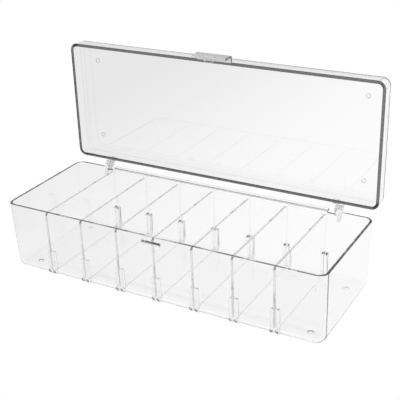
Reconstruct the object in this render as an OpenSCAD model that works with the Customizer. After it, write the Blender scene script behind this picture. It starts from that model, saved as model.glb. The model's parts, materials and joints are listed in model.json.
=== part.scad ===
// Clear eight-compartment sorting box: one moulded tray, seven lift-out dividers and a hinged
// lid with a snap clasp. Millimetres, +Z up. The origin is at the centre of the tray's flat
// underside, +X runs along the row of compartments and the hinge is on the +Y side.
// The lid is drawn standing open on its stop.

/* [Tray] */
// Length of the tray at its rim
tray_len = 262; // [225:1:320]
// Width of the tray at its rim
tray_wid = 95; // [75:1:130]
// Height of the tray from its underside to its rim
tray_h = 55; // [42:1:80]
// Thickness of the four walls
wall_t = 1.9; // [1.5:0.1:2.6]
// Thickness of the floor
floor_t = 2; // [1.6:0.1:3]
// Lean of each wall out of the mould, in degrees
wall_draft = 1.1; // [0.5:0.1:2]
// Corner radius of the rim, seen from above
rim_corner_r = 7; // [5:0.5:12]
// Corner radius of the base, seen from above
base_corner_r = 8; // [7:0.5:12]
// Radius that rolls the walls into the underside
base_edge_r = 6.5; // [4:0.5:7]

/* [Dividers] */
// Distance from one divider to the next
divider_pitch = 31.5; // [26:0.5:32]
// Thickness of a divider
divider_t = 1.8; // [1.2:0.1:2.4]
// How far the dividers' tops lie below the rim
divider_drop = 1.9; // [1:0.1:5]
// Gap between each end of a divider and the wall
divider_end_gap = 0.5; // [0.3:0.1:1]
// Chamfer at a divider's top corners
divider_top_chamfer = 2; // [1:0.5:4]
// Play between a divider's face and the slot rib beside it
slot_play = 0.2; // [0.1:0.05:0.4]
// Width of a slot rib
rib_w = 2; // [1.2:0.1:3]
// How far a slot rib stands in from the wall
rib_depth = 3.5; // [2:0.5:5]
// Height of a slot rib's top above the underside
rib_h = 20.5; // [12:0.5:35]
// Fall of a slot rib's top away from the wall
rib_top_fall = 0.8; // [0:0.1:2]
// Chamfer on the outer foot of a slot rib
rib_foot_chamfer = 1.2; // [0.5:0.1:2]

/* [Lid] */
// Height of the lid, from its rim to its flat top
lid_h = 13.8; // [10:0.1:20]
// Thickness of the lid's flat top
lid_top_t = 2; // [1.6:0.1:3]
// Thickness of the lid's skirt
lid_wall_t = 2.4; // [1.8:0.1:3]
// Lean of the skirt out of the mould, in degrees
lid_draft = 1.3; // [0.5:0.1:2]
// How far the lid stands out past each end of the tray
lid_over_len = 1.4; // [0.5:0.1:2]
// How far the lid stands out past the tray's front and back
lid_over_wid = 0.8; // [0.4:0.1:1.2]
// Corner radius of the lid, seen from above
lid_corner_r = 6; // [5:0.5:10]
// Radius round the lid's top edge
lid_edge_r = 3; // [2:0.5:4]
// Radius in the corner between the skirt and the inside of the top
lid_inner_r = 1.2; // [0.8:0.1:1.6]
// Gap between the rims when the lid is shut
seat_gap = 0.15; // [0.1:0.05:0.3]
// Angle that the lid opens to
open_angle = 90.5; // [80:0.5:110]

/* [Hinge] */
// Distance from each end of the tray to the outer face of the hinge arm
hinge_inset = 29.1; // [24:0.1:40]
// Distance of the hinge axis behind the tray's rim
hinge_back = 4.2; // [4:0.1:5]
// Height of the hinge axis above the tray's rim
hinge_rise = 1.1; // [0.8:0.1:1.6]
// Diameter of the hinge pins
pin_d = 2.6; // [2:0.1:3]
// Length of a hinge pin
pin_len = 2.5; // [2:0.1:3.5]
// Radial play of a pin in its socket
pin_play = 0.06; // [0.02:0.01:0.1]
// Thickness of a hinge arm
arm_t = 2; // [1.5:0.1:2.5]
// Thickness of a socket lug
lug_t = 2.8; // [2.2:0.1:4]
// Side play between an arm and its lug
hinge_side_play = 0.3; // [0.2:0.05:0.6]
// Length of the notch in the back wall at each hinge
notch_len = 7; // [5:0.5:10]
// Depth of that notch below the rim
notch_depth = 2.3; // [1:0.1:3]
// How far the rail between the notches stands out behind the back wall
rail_depth = 2.8; // [1.5:0.1:3]
// Thickness of the rail
rail_t = 1.8; // [1.4:0.1:2.5]

/* [Clasp] */
// Width of the clasp
clasp_w = 28.6; // [20:0.2:40]
// Distance from the lid's front face to the clasp's outer face
clasp_reach = 5; // [4.5:0.1:6]
// Length of the clasp's tongue below the lid's rim
tongue_drop = 9; // [8:0.1:12]
// Thickness of the clasp
clasp_t = 1.7; // [1.4:0.1:2]
// Width of the hook inside the tongue
hook_w = 11; // [8:0.5:18]
// Height of the hook
hook_h = 2.2; // [1.5:0.1:3]
// Width of the catch bar on the tray
catch_w = 15.5; // [12:0.5:24]
// How far the catch bar stands out from the front wall
catch_depth = 1.6; // [1:0.1:2]
// Height of the catch bar
catch_h = 2.3; // [1.5:0.1:3]
// Distance from the rim down to the catch bar's top
catch_drop = 3.6; // [3:0.1:5]
// How far the hook reaches under the catch bar
hook_grip = 0.6; // [0.3:0.1:0.8]
// Gap between the hook and the underside of the catch bar
hook_gap = 0.3; // [0.1:0.05:0.5]

/* [Stacking] */
// Distance of each stacking pip from the tray's rim, both ways
pip_inset = 15.2; // [13:0.1:20]
// Diameter of a stacking pip
pip_d = 3.6; // [3:0.1:5]
// Height of a stacking pip
pip_h = 0.9; // [0.5:0.1:1]
// Radial play of a pip in its recess
pip_play = 0.3; // [0.2:0.1:0.5]
// Depth of a recess in the underside
recess_depth = 1.1; // [0.6:0.1:1.2]

/* [Hidden] */

divider_count = 7;
// Sides of a moulded corner, whose radius changes up the wall
corner_sides = 32;
// Sides of the round pins, sockets, pips and recesses
round_sides = 64;
// Thickness of the top slice that a moulded block is drawn through
slice_t = 0.01;
// Extra length that carries a cut through a surface
cut_extra = 1;
// Depth that a rib, lug or arm is let into the wall that carries it
root_depth = 1;
// Distance of the ribs' outer edges inside the wall's outer face, and of their feet above the base
rib_skin = 0.1;
// Share of the catch bar's height that its sloping top takes
catch_slope_share = 0.55;
// Gap between a socket lug and the lid's back, and between an arm's heel and the back wall
hinge_gap = 0.2;
// Distance that an arm's heel reaches below the hinge axis
heel_drop = 5;
// Width of the gusset beside an arm
gusset_w = 3;

half_len = tray_len / 2;
half_wid = tray_wid / 2;
lid_half_len = half_len + lid_over_len;
lid_half_wid = half_wid + lid_over_wid;
lid_rim_z = tray_h + seat_gap;
hinge_y = half_wid + hinge_back;
hinge_z = tray_h + hinge_rise;
arm_outer_x = half_len - hinge_inset;
lug_inner_x = arm_outer_x + hinge_side_play;
notch_outer_x = lug_inner_x;
notch_inner_x = notch_outer_x - notch_len;
lug_r = hinge_back - lid_over_wid - hinge_gap;
arm_r = lug_r;
divider_bottom_z = floor_t;
divider_top_z = tray_h - divider_drop;
inner_edge_r = base_edge_r - wall_t;
slot_half = divider_t / 2 + slot_play;
catch_top_z = tray_h - catch_drop;
catch_bottom_z = catch_top_z - catch_h;
hook_top_z = catch_bottom_z - hook_gap;
tongue_bottom_z = lid_rim_z - tongue_drop;
clasp_face_y = -(lid_half_wid + clasp_reach);
tongue_inner_y = clasp_face_y + clasp_t;

// How far a wall leans in at a height below its rim
function lean(depth, draft) = depth * tan(draft);

// Half the tray's outer width, and half its outer length, at height z
function outer_wid_at(z) = half_wid - lean(tray_h - z, wall_draft);
function outer_len_at(z) = half_len - lean(tray_h - z, wall_draft);

// The front wall's outer face at height z
function front_face_y(z) = -outer_wid_at(z);

// A disc with one rounded edge, on its underside
module rounded_puck(plan_r, edge_r) {
    flat_r = plan_r - edge_r;
    rotate_extrude($fn = corner_sides)
        union() {
            translate([0, -edge_r])
                square([max(flat_r, slice_t), edge_r]);
            translate([flat_r, 0])
                intersection() {
                    circle(r = edge_r, $fn = corner_sides);
                    translate([0, -edge_r])
                        square([edge_r, edge_r]);
                }
        }
}

// A block with drafted sides, wide at its top: half sizes and corner radius at the rim, then the
// corner radius and edge radius at the closed end, which is at z = 0
module drafted_block(half_l, half_w, rim_r, height, draft, end_r, edge_r) {
    in = lean(height - edge_r, draft);
    hull() {
        for (sx = [-1, 1], sy = [-1, 1]) {
            translate([sx * (half_l - rim_r), sy * (half_w - rim_r), height - slice_t])
                cylinder(r = rim_r, h = slice_t, $fn = corner_sides);
            translate([sx * (half_l - in - end_r), sy * (half_w - in - end_r), edge_r])
                rounded_puck(end_r, edge_r);
        }
    }
}

// The tray's outer block, and the hollow inside its walls
module tray_outer() {
    drafted_block(half_len, half_wid, rim_corner_r, tray_h, wall_draft, base_corner_r, base_edge_r);
}

module tray_hollow() {
    wider = lean(cut_extra, wall_draft);
    translate([0, 0, floor_t])
        drafted_block(half_len - wall_t + wider, half_wid - wall_t + wider,
            rim_corner_r - wall_t + wider, tray_h - floor_t + cut_extra, wall_draft,
            base_corner_r - wall_t, inner_edge_r);
}

// One slot rib on the back wall, with its foot squared out through the rounded base edge
module slot_rib() {
    rib_top_in = outer_wid_at(rib_h) - wall_t - rib_depth;
    rib_low_in = outer_wid_at(0) - wall_t - rib_depth;
    foot_top_z = rib_skin + rib_foot_chamfer;
    outline = [
        [rib_low_in, rib_skin],
        [outer_wid_at(rib_skin) - rib_skin - rib_foot_chamfer, rib_skin],
        [outer_wid_at(foot_top_z) - rib_skin, foot_top_z],
        [outer_wid_at(rib_h) - rib_skin, rib_h],
        [outer_wid_at(rib_h) - wall_t, rib_h],
        [rib_top_in, rib_h - rib_top_fall]
    ];
    rotate([90, 0, 90])
        linear_extrude(rib_w)
            polygon(outline);
}

// The four slot ribs that hold one divider
module slot(x) {
    for (side = [0, 1], end = [0, 1])
        translate([x, 0, 0])
            mirror([side, 0, 0])
                mirror([0, end, 0])
                    translate([slot_half, 0, 0])
                        slot_rib();
}

// The catch bar on the front wall: flat underneath, sloping on top
module catch_bar() {
    slope_h = catch_h * catch_slope_share;
    face_y = front_face_y(catch_bottom_z);
    outline = [
        [face_y + root_depth, catch_bottom_z],
        [face_y - catch_depth, catch_bottom_z],
        [face_y - catch_depth, catch_top_z - slope_h],
        [face_y, catch_top_z],
        [face_y + root_depth, catch_top_z]
    ];
    translate([-catch_w / 2, 0, 0])
        rotate([90, 0, 90])
            linear_extrude(catch_w)
                polygon(outline);
}

// A socket lug behind the back wall, on the +X side, with its pin hole
module socket_lug() {
    foot_y = outer_wid_at(hinge_z - 3 * lug_r) - root_depth;
    outline = [
        [foot_y, hinge_z - 3 * lug_r],
        [foot_y + root_depth, hinge_z - 3 * lug_r],
        [hinge_y + lug_r, hinge_z],
        [hinge_y, hinge_z],
        [hinge_y - lug_r, tray_h],
        [foot_y, tray_h]
    ];
    difference() {
        union() {
            translate([lug_inner_x, 0, 0])
                rotate([90, 0, 90])
                    linear_extrude(lug_t)
                        polygon(outline);
            translate([lug_inner_x, hinge_y, hinge_z])
                rotate([0, 90, 0])
                    cylinder(r = lug_r, h = lug_t, $fn = round_sides);
        }
        translate([lug_inner_x - cut_extra, hinge_y, hinge_z])
            rotate([0, 90, 0])
                cylinder(d = pin_d + 2 * pin_play, h = lug_t + 2 * cut_extra, $fn = round_sides);
    }
}

// The rail between the two notches, level with the rim
module rail() {
    translate([-notch_inner_x, half_wid - root_depth, tray_h - rail_t])
        cube([2 * notch_inner_x, rail_depth + root_depth, rail_t]);
}

// The cut that makes a hinge notch, on the +X side
module notch_cut() {
    translate([notch_inner_x, half_wid - 2 * wall_t, tray_h - notch_depth])
        cube([notch_len, 3 * wall_t, notch_depth + cut_extra]);
}

// The recess in the underside that takes a stacking pip
module pip_recess() {
    translate([half_len - pip_inset, half_wid - pip_inset, -cut_extra])
        cylinder(r = pip_d / 2 + pip_play, h = recess_depth + cut_extra, $fn = round_sides);
}

module tray() {
    color([0.9, 0.92, 0.94])
        difference() {
            union() {
                difference() {
                    tray_outer();
                    tray_hollow();
                }
                for (i = [1 : divider_count])
                    slot(divider_x(i));
                rail();
                catch_bar();
                for (side = [0, 1])
                    mirror([side, 0, 0])
                        socket_lug();
            }
            for (side = [0, 1])
                mirror([side, 0, 0])
                    notch_cut();
            for (sx = [0, 1], sy = [0, 1])
                mirror([sx, 0, 0])
                    mirror([0, sy, 0])
                        pip_recess();
        }
}

// The middle of divider number i, counted from the -X end
function divider_x(i) = (i - (divider_count + 1) / 2) * divider_pitch;

// A flat divider, cut to the tray's inside with a gap at each end
module divider(i) {
    end_at = function (z) outer_wid_at(z) - wall_t - divider_end_gap;
    low_z = divider_bottom_z + inner_edge_r;
    low_in = end_at(divider_bottom_z) - inner_edge_r;
    mid_in = end_at(low_z) - inner_edge_r * (1 - cos(45));
    mid_z = divider_bottom_z + inner_edge_r * (1 - sin(45));
    half = [
        [low_in, divider_bottom_z],
        [mid_in, mid_z],
        [end_at(low_z), low_z],
        [end_at(divider_top_z - divider_top_chamfer), divider_top_z - divider_top_chamfer],
        [end_at(divider_top_z) - divider_top_chamfer, divider_top_z]
    ];
    other_half = [for (k = [len(half) - 1 : -1 : 0]) [-half[k][0], half[k][1]]];
    color([0.86, 0.9, 0.94])
        translate([divider_x(i) - divider_t / 2, 0, 0])
            rotate([90, 0, 90])
                linear_extrude(divider_t)
                    polygon(concat(half, other_half));
}

// The lid's outer block and hollow, drawn rim down
module lid_outer() {
    translate([0, 0, lid_rim_z + lid_h])
        mirror([0, 0, 1])
            drafted_block(lid_half_len, lid_half_wid, lid_corner_r, lid_h, lid_draft,
                lid_corner_r, lid_edge_r);
}

module lid_hollow() {
    wider = lean(cut_extra, lid_draft);
    inner_r = lid_corner_r - lid_wall_t;
    translate([0, 0, lid_rim_z + lid_h - lid_top_t])
        mirror([0, 0, 1])
            drafted_block(lid_half_len - lid_wall_t + wider, lid_half_wid - lid_wall_t + wider,
                inner_r + wider, lid_h - lid_top_t + cut_extra, lid_draft, inner_r, lid_inner_r);
}

// The clasp at the middle of the lid's front: a flange, a hanging tongue and the hook inside it
module clasp() {
    flange_y = -lid_half_wid + lid_wall_t / 2;
    hook_tip_y = front_face_y(catch_bottom_z) - catch_depth + hook_grip;
    hook_reach = hook_tip_y - tongue_inner_y;
    hook_r = (hook_w * hook_w / 4 + hook_reach * hook_reach) / (2 * hook_reach);
    translate([-clasp_w / 2, clasp_face_y, lid_rim_z])
        cube([clasp_w, flange_y - clasp_face_y, clasp_t]);
    translate([-clasp_w / 2, clasp_face_y, tongue_bottom_z])
        cube([clasp_w, clasp_t, tongue_drop + clasp_t]);
    intersection() {
        translate([0, hook_tip_y - hook_r, hook_top_z - hook_h])
            cylinder(r1 = hook_r - hook_grip, r2 = hook_r, h = hook_h, $fn = round_sides);
        translate([-hook_w, tongue_inner_y - clasp_t / 2, hook_top_z - hook_h])
            cube([2 * hook_w, hook_reach + clasp_t, hook_h]);
    }
}

// A hinge arm behind the lid, on the +X side, drawn as it lies with the lid shut: the eye, the
// web to the skirt, the heel that stops the lid, the gusset and the stub pin
module hinge_arm() {
    arm_x = arm_outer_x - arm_t;
    web_low_z = lid_rim_z + hinge_gap;
    heel_reach = hinge_back - hinge_gap;
    root_y = lid_half_wid - lid_wall_t / 2;
    translate([arm_x, hinge_y, hinge_z])
        rotate([0, 90, 0])
            cylinder(r = arm_r, h = arm_t, $fn = round_sides);
    translate([arm_x, root_y, web_low_z])
        cube([arm_t, hinge_y - root_y, hinge_z + arm_r - web_low_z]);
    translate([arm_x, hinge_y, hinge_z - heel_reach])
        cube([arm_t, heel_drop, heel_reach]);
    translate([arm_x - gusset_w, root_y, web_low_z])
        cube([gusset_w + arm_t / 2, lid_half_wid + root_depth - root_y, hinge_z + arm_r - web_low_z]);
    translate([arm_outer_x - arm_t / 2, hinge_y, hinge_z])
        rotate([0, 90, 0])
            cylinder(d = pin_d, h = arm_t / 2 + pin_len, $fn = round_sides);
}

// The lid as it lies when it is shut
module shut_lid() {
    difference() {
        lid_outer();
        lid_hollow();
    }
    clasp();
    for (side = [0, 1])
        mirror([side, 0, 0])
            hinge_arm();
    for (sx = [-1, 1], sy = [-1, 1])
        translate([sx * (half_len - pip_inset), sy * (half_wid - pip_inset),
                lid_rim_z + lid_h - root_depth])
            cylinder(d = pip_d, h = pip_h + root_depth, $fn = round_sides);
}

module lid() {
    color([0.88, 0.91, 0.95])
        translate([0, hinge_y, hinge_z])
            rotate([-open_angle, 0, 0])
                translate([0, -hinge_y, -hinge_z])
                    shut_lid();
}

tray();
divider(1);  // divider_1
divider(2);  // divider_2
divider(3);  // divider_3
divider(4);  // divider_4
divider(5);  // divider_5
divider(6);  // divider_6
divider(7);  // divider_7
lid();
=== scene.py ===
# %% [markdown]
# # A clear sorting box with seven lift-out dividers and a hinged lid
#
# The real box is three kinds of clear polystyrene moulding: one tray, seven flat dividers and one
# lid. This script loads the construction model as a fixed frame, builds a finely rounded copy of
# each moulding in the same place, gives it a clear plastic, and sets up a white studio round it.
# Sizes are in millimetres, turned to Blender's metres by MM.

# %% Load the frame
import json
import math
import bmesh
import bpy
from mathutils import Matrix, Vector


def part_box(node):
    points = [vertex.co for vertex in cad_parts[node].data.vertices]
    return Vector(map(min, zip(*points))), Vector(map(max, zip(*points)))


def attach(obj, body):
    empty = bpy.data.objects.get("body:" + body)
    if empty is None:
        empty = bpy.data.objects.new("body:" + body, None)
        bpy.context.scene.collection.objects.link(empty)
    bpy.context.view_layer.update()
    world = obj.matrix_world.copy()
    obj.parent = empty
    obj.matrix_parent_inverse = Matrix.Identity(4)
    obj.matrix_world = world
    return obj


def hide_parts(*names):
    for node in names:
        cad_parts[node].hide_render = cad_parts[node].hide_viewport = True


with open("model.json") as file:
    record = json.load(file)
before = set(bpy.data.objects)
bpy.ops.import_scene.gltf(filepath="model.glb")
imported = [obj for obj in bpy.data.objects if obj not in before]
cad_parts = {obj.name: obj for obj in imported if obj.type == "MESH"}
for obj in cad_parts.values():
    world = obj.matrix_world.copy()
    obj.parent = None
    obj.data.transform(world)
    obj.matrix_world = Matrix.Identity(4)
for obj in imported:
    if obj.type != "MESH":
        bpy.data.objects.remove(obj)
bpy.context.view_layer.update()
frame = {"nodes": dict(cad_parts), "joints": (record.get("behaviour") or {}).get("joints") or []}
MM = 0.001

# %% [markdown]
# ## Driving sizes
#
# What the frame knows is read from it: the box's length, the places of the dividers, and the axis
# and range of the lid's hinge. What remains are the widths, wall thicknesses, radii and small
# features of the mouldings, which get names here.

# %% Sizes read from the frame
hinge = next(joint for joint in frame["joints"] if joint["name"] == "lid_hinge")
HINGE_Y, HINGE_Z = (value / MM for value in hinge["pos_m"][1:])
OPEN_ANGLE = math.radians(-hinge["range_deg"][0])
DIVIDERS = sorted(name for name in frame["nodes"] if name.startswith("divider_"))
divider_low, divider_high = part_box(DIVIDERS[len(DIVIDERS) // 2])

HALF_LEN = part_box("tray")[1].x / MM
DIVIDER_T = (divider_high.x - divider_low.x) / MM
DIVIDER_TOP = divider_high.z / MM
print(f"tray {2 * HALF_LEN:.1f} mm long, {len(DIVIDERS)} dividers {DIVIDER_T:.1f} mm thick")
print(f"hinge at y {HINGE_Y:.1f}, z {HINGE_Z:.1f} mm, open by {math.degrees(OPEN_ANGLE):.1f} degrees")

# %% Sizes of the tray's shell
# HALF_WID is half the width across the rim. The node's own box is wider: it takes in the catch bar
# in front and the hinge behind.
HALF_WID = 47.5
TRAY_H = 55.0
WALL_T = 1.9
FLOOR_T = 2.0
TRAY_DRAFT = math.radians(1.1)
RIM_CORNER_R = 7.0
BASE_CORNER_R = 8.0
BASE_EDGE_R = 6.5
RIM_ROUND = 0.35

# %% Sizes of the slot ribs and the dividers
RIB_W = 2.0
RIB_DEPTH = 3.5
RIB_H = 20.5
RIB_FALL = 0.8
RIB_FOOT_R = 4.2
RIB_SOFT = 0.15
SLOT_PLAY = 0.2
END_GAP = 0.5
TOP_CUT = 2.0
STAND_OFF = 0.05

# %% Sizes of the catch bar, the stacking pips and their recesses
CATCH_W = 15.5
CATCH_DEPTH = 1.6
CATCH_H = 2.3
CATCH_LIP = 1.04
CATCH_Z = 49.1
PIP_INSET = 15.2
PIP_R = 1.8
PIP_H = 0.9
PIP_SOFT = 0.6
PIP_FREE = 0.3
RECESS_DEPTH = 1.1

# %% Sizes of the lid's shell and clasp
LID_HALF_LEN = HALF_LEN + 1.4
LID_HALF_WID = HALF_WID + 0.8
LID_RIM_Z = TRAY_H + 0.15
LID_H = 13.8
LID_TOP_T = 2.0
LID_WALL_T = 2.4
LID_DRAFT = math.radians(1.3)
LID_CORNER_R = 6.0
LID_EDGE_R = 3.0
LID_INNER_R = 1.2
CLASP_W = 28.6
CLASP_REACH = 5.0
CLASP_T = 1.7
BEND_R = 1.2
TONGUE_DROP = 9.0
HOOK_W = 11.0
HOOK_H = 2.2
HOOK_GRIP = 0.6
HOOK_GAP = 0.3

# %% Sizes of the hinge
EYE_R = 3.2
PIN_R = 1.3
PIN_PLAY = 0.06
PIN_LEN = 2.5
ARM_OUT_X = HALF_LEN - 29.1
ARM_T = 2.0
LUG_X = ARM_OUT_X + 0.3
LUG_T = 2.8
LUG_DROP = 3 * EYE_R
HINGE_GAP = 0.2
HEEL_DROP = 5.0
GUSSET_W = 3.0
NOTCH_IN_X = LUG_X - 7.0
NOTCH_DEPTH = 2.3
RAIL_DEPTH = 2.8
RAIL_T = 1.8
RAIL_STEP = 0.05

# %% Allowances for joining shapes
# ROOT is how far a shape reaches into the one that it grows from. SKIN is a hair's breadth, which
# keeps two faces out of one plane, and is the tolerance where faces are told apart.
ROOT = 1.0
SKIN = 0.1

# %% Rounds on the edges of the small features
SOFT = 0.2
LUG_SOFT = 0.25
RAIL_SOFT = 0.3
NOTCH_SOFT = 0.4
RECESS_SOFT = 0.6

# %% [markdown]
# ## Building blocks for moulded plastic
#
# A drafted box with rounded corners could be a bevelled cube, but a bevel keeps one radius from
# top to bottom, and these mouldings don't. So each shell is a stack of rounded rectangles, bridged
# one to the next: from the middle of the outside, up over the rim and down to the middle of the
# inside. That gives clean strips of four-sided faces, which clear plastic needs: what is seen
# through it shows every kink.

# %% Helpers: a ring and a stack of rings
CORNER_STEPS = 12


def ring(shape, half_l, half_w, corner_r, z):
    """A closed loop of edges: a rectangle with rounded corners, at height z. All in millimetres."""
    size = Matrix.Diagonal((half_l * MM, half_w * MM, 1, 1))
    at = Matrix.Translation((0, 0, z * MM))
    corners = bmesh.ops.create_grid(shape, x_segments=1, y_segments=1, size=1, matrix=at @ size)["verts"]
    rounded = bmesh.ops.bevel(shape, geom=corners, offset=corner_r * MM, offset_type="OFFSET",
                              segments=CORNER_STEPS, profile=0.5, affect="VERTICES", material=-1)
    touching = {face for vert in rounded["verts"] for face in vert.link_faces}
    face = max(touching, key=lambda touched: len(touched.verts))
    loop = list(face.edges)
    bmesh.ops.delete(shape, geom=[face], context="FACES_ONLY")
    return loop


def stack(shape, sections):
    """Bridges rounded rectangles (half length, half width, corner radius, z) and closes both ends."""
    rings = [ring(shape, *section) for section in sections]
    for lower, upper in zip(rings, rings[1:]):
        bmesh.ops.bridge_loops(shape, edges=lower + upper)
    for end in (rings[0], rings[-1]):
        bmesh.ops.contextual_create(shape, geom=end)
    bmesh.ops.recalc_face_normals(shape, faces=shape.faces)


# %% Helpers: a round stretch, and the sections of a drafted shell
EDGE_STEPS = 8
RIM_STEPS = 3
RIM_FALL = 0.02


def arc(radius, start, end, steps):
    """Points (across, up) of a round stretch about its own centre, angles in degrees."""
    angles = [math.radians(start + (end - start) * step / steps) for step in range(steps + 1)]
    return [(radius * math.cos(angle), radius * math.sin(angle)) for angle in angles]


def half_shell(half_l, half_w, height, draft, rim_r, end_r, edge_r, inside):
    """Sections of one skin of an open box, from the middle of its closed end (z = 0) to its rim.

    The inside skin leans and curves like the outside one, but its rim rounds the other way and
    ends RIM_FALL lower, because bridge_loops has to see which of two rings is the upper one.
    """
    lean = (height - edge_r) * math.tan(draft)
    rim_z = height - RIM_ROUND - (RIM_FALL if inside else 0)
    sections = []
    for across, up in arc(edge_r, -90, 0, EDGE_STEPS):
        inset = lean + edge_r - across
        sections.append((half_l - inset, half_w - inset, end_r - edge_r + across, edge_r + up))
    for across, up in arc(RIM_ROUND, 0, 90, RIM_STEPS):
        inset = (across - RIM_ROUND) if inside else (RIM_ROUND - across)
        sections.append((half_l - inset, half_w - inset, rim_r - inset, rim_z + up))
    return sections


# %% [markdown]
# Ribs, lugs, arms and the clasp are all flat outlines drawn out straight. A real moulded edge is
# never sharp: each gets a small round, which is what catches the light.

# %% Helpers: a drawn-out outline with soft edges
SOFT_STEPS = 3
SHARP_OUTLINE = math.radians(25)
SHARP_STUB = math.radians(60)
UPRIGHT = Matrix(((0, 1, 0, 0), (0, 0, 1, 0), (1, 0, 0, 0), (0, 0, 0, 1)))


def soften(shape, sharper_than, radius):
    """Rounds the edges of a closed shape that turn more sharply than an angle."""
    corners = [edge for edge in shape.edges if edge.calc_face_angle() > sharper_than]
    bmesh.ops.bevel(shape, geom=corners, offset=radius * MM, offset_type="OFFSET", segments=SOFT_STEPS,
                    profile=0.5, affect="EDGES", material=-1, clamp_overlap=True)


def prism(outline, start, end, soft, matrix=Matrix.Identity(4)):
    """A closed body: an outline of (y, z) points drawn out along X from start to end, edges softened.

    With UPRIGHT as its matrix, the outline is of (x, y) points and is drawn out along Z.
    """
    shape = bmesh.new()
    face = shape.faces.new([shape.verts.new((start * MM, y * MM, z * MM)) for y, z in outline])
    grown = bmesh.ops.extrude_face_region(shape, geom=[face])["geom"]
    ends = [vert for vert in grown if isinstance(vert, bmesh.types.BMVert)]
    bmesh.ops.translate(shape, verts=ends, vec=((end - start) * MM, 0, 0))
    bmesh.ops.transform(shape, matrix=matrix, verts=shape.verts)
    bmesh.ops.recalc_face_normals(shape, faces=shape.faces)
    soften(shape, SHARP_OUTLINE, soft)
    return shape


def block(low, high, soft):
    """A box between two corners, with softened edges."""
    outline = [(low[1], low[2]), (high[1], low[2]), (high[1], high[2]), (low[1], high[2])]
    return prism(outline, low[0], high[0], soft)


# %% Helpers: a round stub, and a mirror image
ROUND_SIDES = 48
ALONG_X = Matrix.Rotation(math.radians(90), 4, "Y")


def stub(centre, radius, length, soft, turn=Matrix.Identity(4)):
    """A closed cylinder about its centre, upright or turned, with its ends softened."""
    shape = bmesh.new()
    at = Matrix.Translation(Vector(centre) * MM) @ turn
    bmesh.ops.create_cone(shape, cap_ends=True, segments=ROUND_SIDES, radius1=radius * MM,
                          radius2=radius * MM, depth=length * MM, matrix=at)
    if soft:
        soften(shape, SHARP_STUB, soft)
    return shape


def mirrored(shape, axis):
    """The mirror image of a shape across the plane where that axis is zero."""
    signs = {"X": (-1, 1, 1), "Y": (1, -1, 1)}[axis]
    copy = shape.copy()
    bmesh.ops.scale(copy, vec=signs, verts=copy.verts)
    bmesh.ops.reverse_faces(copy, faces=copy.faces)
    return copy


# %% [markdown]
# Each moulding is one closed body, and so is its copy here: a rib or a lug that only stood in the
# wall would leave faces inside it, and clear plastic shows them. A Boolean modifier with the exact
# solver merges them, and its result is taken over as the mesh.

# %% Helpers: from a shape to a piece, and joining pieces
def piece(name, shape):
    """Turns a bmesh into an object at the origin."""
    mesh = bpy.data.meshes.new(name)
    shape.to_mesh(mesh)
    shape.free()
    made = bpy.data.objects.new(name, mesh)
    bpy.context.scene.collection.objects.link(made)
    return made


def combine(body, shape, how):
    """Joins a closed shape to a body ("UNION"), or cuts it away ("DIFFERENCE")."""
    tool = piece("tool", shape)
    step = body.modifiers.new("combine", "BOOLEAN")
    step.operation = how
    step.solver = "EXACT"
    step.object = tool
    ready = body.evaluated_get(bpy.context.evaluated_depsgraph_get())
    body.data = bpy.data.meshes.new_from_object(ready)
    body.modifiers.clear()
    bpy.data.objects.remove(tool)


def combine_both(body, shape, how):
    """Combines a shape and its mirror image at the other end of the box."""
    combine(body, mirrored(shape, "X"), how)
    combine(body, shape, how)


# %% Helper: shading and place of a finished piece
SHARP_SHADING = math.radians(35)
FLAT_FACE_WEIGHT = 80


def finish_piece(made, body, slot, material, *nodes):
    """Smooth rounds beside truly flat faces, then the piece takes its material and body, and its CAD nodes
    are hidden.
    """
    mesh = made.data
    mesh.shade_smooth()
    mesh.set_sharp_from_angle(angle=SHARP_SHADING)
    even = made.modifiers.new("flat faces keep their own normal", "WEIGHTED_NORMAL")
    even.keep_sharp = True
    even.weight = FLAT_FACE_WEIGHT
    mesh.materials.clear()
    mesh.materials.append(material)
    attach(made, body)
    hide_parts(*nodes)
    print(f"{made.name}: {len(mesh.polygons)} faces")


# %% [markdown]
# ## Clear polystyrene
#
# Crystal polystyrene is clear and colourless and bends light more than glass does (IOR 1.59). It
# comes out of a polished mould, so its skin is glossy, but never perfectly flat: it ripples a
# little where the melt cooled, every few centimetres, and handling leaves a fine haze. Real haze is
# finer than HAZE_SIZE: it is drawn coarser, or it wouldn't show.
#
# A slight absorption inside hardly shows through a wall, but light that runs lengthwise through a
# rim loses much more, and that makes the edges grey. It could be left out, since the real plastic
# absorbs very little, but in a room as white as this one the edges would then come out too light.

# %% Helpers: colour and nodes
def linear(hex_colour):
    """An sRGB hex colour as the linear numbers that shaders use."""
    parts = [int(hex_colour[i:i + 2], 16) / 255 for i in (1, 3, 5)]
    return (*[v / 12.92 if v <= 0.04045 else ((v + 0.055) / 1.055) ** 2.4 for v in parts], 1.0)


def add(tree, kind, inputs=None, **settings):
    """Adds a node. inputs maps its sockets' names or numbers to values or to outputs to link from."""
    node = tree.nodes.new(kind)
    for name, value in settings.items():
        setattr(node, name, value)
    for name, value in (inputs or {}).items():
        if isinstance(value, bpy.types.NodeSocket):
            tree.links.new(value, node.inputs[name])
        else:
            node.inputs[name].default_value = value
    return node


# %% The clear plastic
HAZE_SIZE = 4.0
HAZE_MOST = 0.05
RIPPLE_SIZE = 30.0
RIPPLE_DEPTH = 0.05
CLEAR = "#FEFEFE"
BLACK = "#000000"


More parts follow.
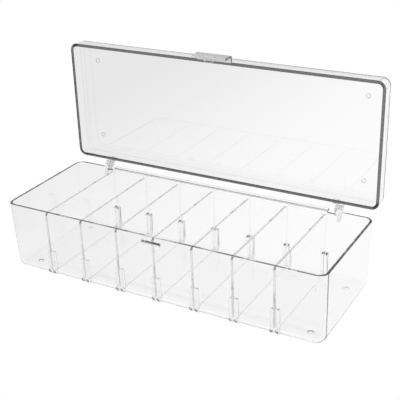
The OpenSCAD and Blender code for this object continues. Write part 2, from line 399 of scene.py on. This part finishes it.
def clear_polystyrene(name, seed, absorption):
    """Moulded crystal polystyrene: clear, glossy, faintly rippled and hazed.

    seed shifts the pattern, so that no two mouldings match. absorption is the plastic's absorption
    coefficient, per metre: light falls to a factor of exp(-absorption * distance) on its way.
    """
    material = bpy.data.materials.new(name)
    material.use_nodes = True
    tree = material.node_tree
    tree.nodes.clear()
    place = add(tree, "ShaderNodeTexCoord").outputs["Object"]
    moved = add(tree, "ShaderNodeMapping", {"Vector": place, "Location": (seed, 0, 0)}).outputs["Vector"]
    ripple = add(tree, "ShaderNodeTexNoise", {
        "Vector": moved, "Scale": 1 / (RIPPLE_SIZE * MM), "Detail": 1.0})
    haze = add(tree, "ShaderNodeTexNoise", {
        "Vector": moved, "Scale": 1 / (HAZE_SIZE * MM), "Detail": 4.0})
    rough = add(tree, "ShaderNodeMapRange", {
        "Value": haze.outputs["Fac"], "To Min": 0.0, "To Max": HAZE_MOST})
    bump = add(tree, "ShaderNodeBump", {
        "Height": ripple.outputs["Fac"], "Strength": 0.3, "Distance": RIPPLE_DEPTH * MM})
    shader = add(tree, "ShaderNodeBsdfPrincipled", {
        "Base Color": linear(CLEAR), "Roughness": rough.outputs["Result"], "IOR": 1.59,
        "Transmission Weight": 1.0, "Normal": bump.outputs["Normal"]})
    body = add(tree, "ShaderNodeVolumeAbsorption", {"Color": linear(BLACK), "Density": absorption})
    add(tree, "ShaderNodeOutputMaterial", {
        "Surface": shader.outputs["BSDF"], "Volume": body.outputs["Volume"]})
    print(f"{name}: keeps {math.exp(-absorption * WALL_T * MM):.1%} of the light through one wall")
    return material


tray_plastic = clear_polystyrene("clear polystyrene, moulded tray", seed=0.0, absorption=7.0)
divider_plastic = clear_polystyrene("clear polystyrene, moulded dividers", seed=0.4, absorption=2.0)
lid_plastic = clear_polystyrene("clear polystyrene with painted edge shade, moulded lid", seed=0.8, absorption=10.0)

# %% [markdown]
# ## The tray
#
# The tray is one deep moulding with leaning walls, so that it leaves its mould, and a generously
# rounded lower edge. Its shell is one stack of rings: up the outside from the middle of the base,
# round the rim, and down the inside to the middle of the floor.

# %% Tray shell
def outer_wid(z):
    """Half the tray's outer width at height z, in millimetres."""
    return HALF_WID - (TRAY_H - z) * math.tan(TRAY_DRAFT)


def tray_shell():
    """The tray's bare shell as one closed body."""
    outside = half_shell(HALF_LEN, HALF_WID, TRAY_H, TRAY_DRAFT,
                         RIM_CORNER_R, BASE_CORNER_R, BASE_EDGE_R, inside=False)
    inside = half_shell(HALF_LEN - WALL_T, HALF_WID - WALL_T, TRAY_H - FLOOR_T, TRAY_DRAFT,
                        RIM_CORNER_R - WALL_T, BASE_CORNER_R - WALL_T, BASE_EDGE_R - WALL_T, inside=True)
    raised = [(length, width, corner, z + FLOOR_T) for length, width, corner, z in inside]
    shape = bmesh.new()
    stack(shape, outside + raised[::-1])
    return shape


tray = piece("tray_shell", tray_shell())
print("tray shell:", len(tray.data.polygons), "faces")

# %% [markdown]
# Each divider stands between two pairs of slot ribs, one on the front wall and one on the back
# wall. A rib is about as wide as the wall is thick, ends a little above a third of the height, and
# runs down through the round edge of the base. It could be a box, but its top slopes and its foot
# is round, so its profile is drawn from the side and drawn out along the box.

# %% Slot ribs
def divider_middle(name):
    """Where a divider stands along the box, in millimetres."""
    low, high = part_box(name)
    return (low.x + high.x) / 2 / MM


def rib_outline():
    """A slot rib on the back wall: its foot stands out through the round edge of the base."""
    top_in = outer_wid(RIB_H) - WALL_T - RIB_DEPTH
    low_in = outer_wid(0) - WALL_T - RIB_DEPTH
    foot_y = outer_wid(SKIN + RIB_FOOT_R) - SKIN - RIB_FOOT_R
    foot = [(foot_y + across, SKIN + RIB_FOOT_R + up) for across, up in arc(RIB_FOOT_R, -90, 0, EDGE_STEPS)]
    return [(low_in, SKIN), *foot, (outer_wid(RIB_H) - SKIN, RIB_H), (outer_wid(RIB_H) - WALL_T, RIB_H),
            (top_in, RIB_H - RIB_FALL)]


for name in DIVIDERS:
    gap = DIVIDER_T / 2 + SLOT_PLAY
    for start in (divider_middle(name) - gap - RIB_W, divider_middle(name) + gap):
        rib = prism(rib_outline(), start, start + RIB_W, RIB_SOFT)
        combine(tray, mirrored(rib, "Y"), "UNION")
        combine(tray, rib, "UNION")
print("with its slot ribs:", len(tray.data.polygons), "faces")

# %% [markdown]
# The hinge needs three things of the tray: a socket lug at each end for the lid's stub pin, a notch
# in the back rim that lets the lid's arm through, and a narrow rail behind the rim between them.

# %% Rail, socket lugs and notches
EYE_STEPS = 24


def lug_outline():
    """A socket lug: a bracket that rises from the back wall to a round eye on the hinge's axis."""
    low_z = HINGE_Z - LUG_DROP
    foot_y = outer_wid(low_z) - ROOT
    eye = [(HINGE_Y + across, HINGE_Z + up) for across, up in arc(EYE_R, 0, 180, EYE_STEPS)]
    return [(foot_y, low_z), (foot_y + ROOT, low_z), *eye, (HINGE_Y - EYE_R, TRAY_H), (foot_y, TRAY_H)]


rail = block((-NOTCH_IN_X, HALF_WID - ROOT, TRAY_H - RAIL_T),
             (NOTCH_IN_X, HALF_WID + RAIL_DEPTH, TRAY_H - RAIL_STEP), RAIL_SOFT)
combine(tray, rail, "UNION")
combine_both(tray, prism(lug_outline(), LUG_X, LUG_X + LUG_T, LUG_SOFT), "UNION")
notch = block((NOTCH_IN_X, HALF_WID - 2 * WALL_T, TRAY_H - NOTCH_DEPTH),
              (LUG_X - SKIN, HALF_WID + WALL_T, TRAY_H + WALL_T), NOTCH_SOFT)
combine_both(tray, notch, "DIFFERENCE")
socket = stub((LUG_X + LUG_T / 2, HINGE_Y, HINGE_Z), PIN_R + PIN_PLAY, 2 * LUG_T, 0, ALONG_X)
combine_both(tray, socket, "DIFFERENCE")
print("with its hinge:", len(tray.data.polygons), "faces")

# %% [markdown]
# The clasp snaps under a short bar on the front wall, flat below and sloping above so that the hook
# slides over it. Four shallow round recesses in the underside take the pips of a lid below.

# %% Catch bar and stacking recesses
def catch_outline():
    """The catch bar's profile on the front wall."""
    face_y = -outer_wid(CATCH_Z)
    front_y = face_y - CATCH_DEPTH
    return [(face_y + ROOT, CATCH_Z), (front_y, CATCH_Z), (front_y, CATCH_Z + CATCH_LIP),
            (face_y, CATCH_Z + CATCH_H), (face_y + ROOT, CATCH_Z + CATCH_H)]


combine(tray, prism(catch_outline(), -CATCH_W / 2, CATCH_W / 2, SOFT), "UNION")
for side in (-1, 1):
    over_pip = (HALF_LEN - PIP_INSET, side * (HALF_WID - PIP_INSET), 0)
    recess = stub(over_pip, PIP_R + PIP_FREE, 2 * RECESS_DEPTH, RECESS_SOFT)
    combine_both(tray, recess, "DIFFERENCE")
finish_piece(tray, "tray", "tray_clear", tray_plastic, "tray")

# %% [markdown]
# ## The dividers
#
# Each divider is a flat plate with its lower corners rounded to follow the tray's inside, and its
# upper corners cut off. It stands a hair above the floor, because two clear faces in the same
# plane would confuse the light.

# %% Seven dividers
def divider_outline():
    """The plate's outline, from the middle of its foot round to the other side."""
    edge_r = BASE_EDGE_R - WALL_T
    foot_z = FLOOR_T + STAND_OFF

    def end_at(z):
        return outer_wid(z) - WALL_T - END_GAP

    bend_y = end_at(foot_z) - edge_r
    bend_z = foot_z + edge_r
    cut_z = DIVIDER_TOP - TOP_CUT
    lower = [(bend_y + across, bend_z + up) for across, up in arc(edge_r, -90, 0, EDGE_STEPS)]
    upper = [(end_at(cut_z), cut_z), (end_at(DIVIDER_TOP) - TOP_CUT, DIVIDER_TOP)]
    half = lower + upper
    return half + [(-y, z) for y, z in reversed(half)]


for name in DIVIDERS:
    start = divider_middle(name) - DIVIDER_T / 2
    plate = piece(name + "_plate", prism(divider_outline(), start, start + DIVIDER_T, SOFT))
    finish_piece(plate, name, "divider_clear", divider_plastic, name)

# %% [markdown]
# ## The lid
#
# The lid is built shut, where its sizes are easy to state, and then swung open about the hinge by
# the angle that the joint gives. Its skirt is a shell like the tray's, turned upside down.

# %% Lid shell
def lid_shell():
    """The shut lid's bare shell as one closed body."""
    outside = half_shell(LID_HALF_LEN, LID_HALF_WID, LID_H, LID_DRAFT,
                         LID_CORNER_R, LID_CORNER_R, LID_EDGE_R, inside=False)
    inner_r = LID_CORNER_R - LID_WALL_T
    inside = half_shell(LID_HALF_LEN - LID_WALL_T, LID_HALF_WID - LID_WALL_T, LID_H - LID_TOP_T, LID_DRAFT,
                        inner_r, inner_r, LID_INNER_R, inside=True)
    deeper = [(length, width, corner, z + LID_TOP_T) for length, width, corner, z in inside]
    top_z = LID_RIM_Z + LID_H
    turned = [(length, width, corner, top_z - z) for length, width, corner, z in outside + deeper[::-1]]
    shape = bmesh.new()
    stack(shape, turned)
    return shape


lid = piece("lid_shell", lid_shell())
print("lid shell:", len(lid.data.polygons), "faces")

# %% [markdown]
# The clasp is a flange that reaches out from the rim, a tongue that hangs down from it, and a hook
# inside the tongue. Flange and tongue are one outline with a round bend. The hook is drawn from
# above instead, because its free edge is an arc.

# %% Clasp
BEND_STEPS = 6
HOOK_STEPS = 16


def clasp_outline():
    """Flange and tongue in one outline, with a round bend between them."""
    face_y = -LID_HALF_WID - CLASP_REACH
    root_y = -LID_HALF_WID + LID_WALL_T / 2
    back_y = face_y + CLASP_T
    top_z = LID_RIM_Z + CLASP_T
    tip_z = LID_RIM_Z - TONGUE_DROP
    bend = [(face_y + BEND_R - across, top_z - BEND_R + up) for across, up in arc(BEND_R, 90, 0, BEND_STEPS)]
    return [(root_y, top_z), *bend, (face_y, tip_z), (back_y, tip_z), (back_y, LID_RIM_Z),
            (root_y, LID_RIM_Z)]


def hook():
    """A plate with an arc for its free edge, narrower below so that it rides over the catch bar."""
    tongue_y = -LID_HALF_WID - CLASP_REACH + CLASP_T
    tip_y = -outer_wid(CATCH_Z) - CATCH_DEPTH + HOOK_GRIP
    reach = tip_y - tongue_y
    radius = (HOOK_W ** 2 / 4 + reach ** 2) / (2 * reach)
    spread = math.degrees(math.asin(HOOK_W / 2 / radius))
    edge = [(across, tip_y - radius + up) for across, up in arc(radius, 90 - spread, 90 + spread, HOOK_STEPS)]
    outline = edge + [(-HOOK_W / 2, tongue_y - CLASP_T / 2), (HOOK_W / 2, tongue_y - CLASP_T / 2)]
    top = CATCH_Z - HOOK_GAP
    shape = prism(outline, top - HOOK_H, top, SOFT, UPRIGHT)
    low = [vert for vert in shape.verts if vert.co.z < (top - HOOK_H / 2) * MM]
    bmesh.ops.scale(shape, vec=(1, 1 - HOOK_GRIP / reach, 1), verts=low,
                    space=Matrix.Translation((0, -tongue_y * MM, 0)))
    return shape


combine(lid, prism(clasp_outline(), -CLASP_W / 2, CLASP_W / 2, LUG_SOFT), "UNION")
combine(lid, hook(), "UNION")
print("with its clasp:", len(lid.data.polygons), "faces")

# %% [markdown]
# A hinge arm reaches back from the skirt at each end, with a stub pin that points outwards into its
# socket. Its heel meets the tray's back wall when the lid is open, and a gusset stiffens it. Four
# low pips on top keep a second box from sliding off.

# %% Hinge arms, gussets, stub pins and stacking pips
ARM_UNDER_STEPS = 10
ARM_OVER_STEPS = 12


def arm_outline():
    """A hinge arm: a web from the skirt, an eye on the axis, and the heel that stops the open lid."""
    web_z = LID_RIM_Z + HINGE_GAP
    meet = math.degrees(math.asin((HINGE_Z - web_z) / EYE_R))
    root_y = LID_HALF_WID - LID_WALL_T / 2
    heel_z = HINGE_Z - (HINGE_Y - HALF_WID - HINGE_GAP)
    under = [(HINGE_Y + across, HINGE_Z + up) for across, up in arc(EYE_R, 180 + meet, 270, ARM_UNDER_STEPS)]
    over = [(HINGE_Y + across, HINGE_Z + up) for across, up in arc(EYE_R, 0, 90, ARM_OVER_STEPS)]
    heel = [(HINGE_Y, heel_z), (HINGE_Y + HEEL_DROP, heel_z), (HINGE_Y + HEEL_DROP, HINGE_Z)]
    return [(root_y, web_z), *under, *heel, *over, (root_y, HINGE_Z + EYE_R)]


arm_x = ARM_OUT_X - ARM_T
combine_both(lid, prism(arm_outline(), arm_x, ARM_OUT_X, SOFT), "UNION")
gusset = block((arm_x - GUSSET_W, LID_HALF_WID - LID_WALL_T / 2, LID_RIM_Z + HINGE_GAP + SKIN),
               (arm_x + ARM_T / 2, LID_HALF_WID + ROOT, HINGE_Z + EYE_R - SKIN), SOFT)
combine_both(lid, gusset, "UNION")
pin_length = PIN_LEN + ARM_T / 2
pin = stub((ARM_OUT_X - ARM_T / 2 + pin_length / 2, HINGE_Y, HINGE_Z), PIN_R, pin_length, SOFT, ALONG_X)
combine_both(lid, pin, "UNION")
for side in (-1, 1):
    on_top = (HALF_LEN - PIP_INSET, side * (HALF_WID - PIP_INSET), LID_RIM_Z + LID_H)
    combine_both(lid, stub(on_top, PIP_R, 2 * PIP_H, PIP_SOFT), "UNION")
print("with its hinge arms and pips:", len(lid.data.polygons), "faces")

# %% [markdown]
# The flat rim is seen end on, with the whole skirt behind it, and on the real lid it reads as a dark
# grey band. The upright walls of the pips and the hinge arms are dark too, and the clasp's thick tab
# is a light grey. Traced in a room as white as this one, they all come out too light. Dark cards
# round the box would mend that, but would show in the clear panels as well. So the shade is painted:
# an "edge" attribute says how much painted shade, a darker base colour, each face takes.

# %% Painted shade on the lid's rim, pips, arms and clasp
# Painted shade: the grey that the rim, pips, arms and clasp show, painted into the lid's base colour.
PAINTED_EDGE_SHADE = "#343434"
RIM_SHADE = 1.0
PIP_SHADE = 0.8
ARM_SHADE = 0.25
CLASP_SHADE = 0.2


def painted_shade_share(face, shape):
    """The share of painted shade that a face of the shut lid takes, by where its corners are."""
    corners = [shape.vertices[index].co / MM for index in face.vertices]
    heights = [corner.z - LID_RIM_Z for corner in corners]
    if max(heights) > LID_H + SKIN:
        return PIP_SHADE if min(heights) < LID_H + PIP_H - SKIN else 0.0
    if min(corner.y for corner in corners) < -LID_HALF_WID - SKIN:
        return CLASP_SHADE
    if max(corner.y for corner in corners) > LID_HALF_WID + SKIN:
        return ARM_SHADE
    at_edge = all(abs(corner.x) > LID_HALF_LEN - 2 * LID_WALL_T
                  or abs(corner.y) > LID_HALF_WID - LID_WALL_T - SKIN for corner in corners)
    return RIM_SHADE if at_edge and max(heights) < RIM_ROUND + SKIN else 0.0


def paint_edge_shade(material, shade_colour):
    """Paints shade into a finished clear material: a darker base colour where the "edge" attribute says."""
    tree = material.node_tree
    shader = next(node for node in tree.nodes if node.type == "BSDF_PRINCIPLED")
    # Painted shade: the clear base colour is mixed towards the shade colour by each face's share.
    share = add(tree, "ShaderNodeAttribute", attribute_name="edge").outputs["Fac"]
    shade_mix = add(tree, "ShaderNodeMixRGB", {0: share, 1: linear(CLEAR), 2: linear(shade_colour)})
    tree.links.new(shade_mix.outputs["Color"], shader.inputs["Base Color"])


# Painted shade for each face of the lid, kept as its "edge" attribute.
shade_shares = [painted_shade_share(face, lid.data) for face in lid.data.polygons]
lid.data.attributes.new("edge", "FLOAT", "FACE").data.foreach_set("value", shade_shares)
paint_edge_shade(lid_plastic, PAINTED_EDGE_SHADE)
print("rim faces:", shade_shares.count(RIM_SHADE), "pip faces:", shade_shares.count(PIP_SHADE))

# %% [markdown]
# The swing goes into the mesh, not into the object's rotation: a finished piece's object stays at
# the origin, so that its patterns and its joint stay where they are.

# %% Swing the lid open
swing = Matrix.Rotation(-OPEN_ANGLE, 4, "X")
axis_at = Matrix.Translation((0, HINGE_Y * MM, HINGE_Z * MM))
lid.data.transform(axis_at @ swing @ axis_at.inverted())
finish_piece(lid, "lid", "lid_clear", lid_plastic, "lid")

# %% [markdown]
# ## Studio
#
# Clear plastic has no colour of its own: the eye reads it by what its edges bend into view. Such
# things are set on a lit white table in a white room with a dark ceiling. The faces show the white
# table, and the edges bend the dark ceiling into view and become thin dark lines. Seen directly,
# table and room are one plain white. Light that the plastic bends or mirrors sees them as they
# are: dimmer on the left, so that the panels there are a little greyer, and dark overhead.

# %% Helpers: light from left to right, and plain white to the eye
LEFT_LIGHT = 0.83
RIGHT_LIGHT = 1.0
WHITE = "#FFFFFF"


def dimmer_left(tree, across, start, end):
    """A brightness that rises from LEFT_LIGHT to RIGHT_LIGHT as across goes from start to end."""
    return add(tree, "ShaderNodeMapRange", {
        "Value": across, "From Min": start, "From Max": end, "To Min": LEFT_LIGHT, "To Max": RIGHT_LIGHT,
    }, interpolation_type="SMOOTHSTEP").outputs["Result"]


def white_to_the_eye(tree, glow):
    """Full brightness for what the camera sees directly, and glow for all other light."""
    straight = add(tree, "ShaderNodeLightPath").outputs["Is Camera Ray"]
    return add(tree, "ShaderNodeMath", {0: glow, 1: straight}, operation="MAXIMUM").outputs["Value"]


# %% Light table: opal acrylic lit from within, which can't be seen from below
# TABLE_DROP is in millimetres, like the box. The table itself is laid out in metres.
TABLE_DROP = 0.3
TABLE_HALF_SIDE = 6
DIM_AT_X = -0.35
BRIGHT_AT_X = 0.05

table_shape = bmesh.new()
bmesh.ops.create_grid(table_shape, x_segments=1, y_segments=1, size=TABLE_HALF_SIDE,
                      matrix=Matrix.Translation((0, 0, -TABLE_DROP * MM)))
table = piece("light_table", table_shape)
opal = bpy.data.materials.new("opal acrylic table top")
opal.use_nodes = True
tree = opal.node_tree
tree.nodes.clear()
place = add(tree, "ShaderNodeTexCoord").outputs["Object"]
across = add(tree, "ShaderNodeSeparateXYZ", {"Vector": place}).outputs["X"]
glow = white_to_the_eye(tree, dimmer_left(tree, across, DIM_AT_X, BRIGHT_AT_X))
lit = add(tree, "ShaderNodeEmission", {"Color": linear(WHITE), "Strength": glow})
gone = add(tree, "ShaderNodeBsdfTransparent").outputs["BSDF"]
below = add(tree, "ShaderNodeNewGeometry").outputs["Backfacing"]
one_sided = add(tree, "ShaderNodeMixShader", {0: below, 1: lit.outputs["Emission"], 2: gone})
add(tree, "ShaderNodeOutputMaterial", {"Surface": one_sided.outputs["Shader"]})
table.data.materials.append(opal)
print("table:", 2 * TABLE_HALF_SIDE, "m wide")

# %% [markdown]
# The room is only a brightness for each direction, so it is the world's background. Its walls go on
# from the table without a line: as bright at its edge, and dimmer on the same side.

# %% Room: brightness by how far up a direction points, from level (0) to straight up (1)
ROOM = [(0.0, 1.0), (0.45, 0.95), (0.65, 0.55), (0.85, 0.28), (1.0, 0.18)]
DIM_TOWARDS = -0.1
BRIGHT_TOWARDS = 0.05

world = bpy.data.worlds.new("studio room")
bpy.context.scene.world = world
world.use_nodes = True
tree = world.node_tree
direction = add(tree, "ShaderNodeTexCoord").outputs["Generated"]
towards = add(tree, "ShaderNodeSeparateXYZ", {"Vector": direction}).outputs
walls = add(tree, "ShaderNodeValToRGB", {"Fac": towards["Z"]})
stops = walls.color_ramp.elements
while len(stops) < len(ROOM):
    stops.new(0.5)
for stop, (up, light) in zip(stops, ROOM):
    stop.position = up
    stop.color = (light, light, light, 1)
sides = dimmer_left(tree, towards["X"], DIM_TOWARDS, BRIGHT_TOWARDS)
glow = add(tree, "ShaderNodeMath", {0: walls.outputs["Color"], 1: sides}, operation="MULTIPLY")
backdrop = tree.nodes["Background"]
backdrop.inputs["Color"].default_value = linear(WHITE)
tree.links.new(white_to_the_eye(tree, glow.outputs["Value"]), backdrop.inputs["Strength"])
print("room:", len(ROOM), "steps of brightness from the table to the ceiling")

# %% [markdown]
# One large soft light, high on the right, gives the rims and rounds their highlights. The rest is
# what clear plastic asks of the renderer: light has to pass many faces before it is given up, or
# the edges go falsely black.

# %% Softbox high on the right
softbox = bpy.data.lights.new("softbox", "AREA")
softbox.shape = "DISK"
softbox.size = 1.6
softbox.energy = 8.0
softbox_at = bpy.data.objects.new("softbox", softbox)
softbox_at.location = (1.0, -0.4, 1.4)
softbox_at.rotation_euler = Vector(softbox_at.location).to_track_quat("Z", "Y").to_euler()
bpy.context.scene.collection.objects.link(softbox_at)
print("softbox:", softbox.energy, "W,", round(softbox.size, 2), "m across")

# %% How many faces light may pass
FACES_PASSED = 96

scene = bpy.context.scene
scene.view_settings.view_transform = "Standard"
scene.cycles.max_bounces = FACES_PASSED
scene.cycles.transmission_bounces = FACES_PASSED
scene.cycles.glossy_bounces = FACES_PASSED
scene.cycles.transparent_max_bounces = 60
print("light may pass", FACES_PASSED, "faces")

# %% [markdown]
# The camera looks from the front, the right and above. A long lens from two thirds of a metre
# keeps the box's long edges nearly parallel. It hangs slightly out of level, hence the small roll.

# %% Camera
# Angles about TARGET, a point inside the box. DISTANCE is in metres.
AZIMUTH = math.radians(30.0)
ELEVATION = math.radians(24.95)
ROLL = math.radians(-2.03)
DISTANCE = 0.6521
TARGET = Vector((8.84, 8.43, 61.8)) * MM

reach = math.cos(ELEVATION)
back = Vector((math.sin(AZIMUTH) * reach, -math.cos(AZIMUTH) * reach, math.sin(ELEVATION)))
turned = back.to_track_quat("Z", "Y").to_matrix() @ Matrix.Rotation(ROLL, 3, "Z")
camera = bpy.data.objects.new("camera", bpy.data.cameras.new("camera"))
camera.data.lens = 78.8
camera.data.sensor_width = 36
camera.location = TARGET + back * DISTANCE
camera.rotation_euler = turned.to_euler()
scene.collection.objects.link(camera)
scene.camera = camera
print("camera at", [round(value, 3) for value in camera.location], "m")
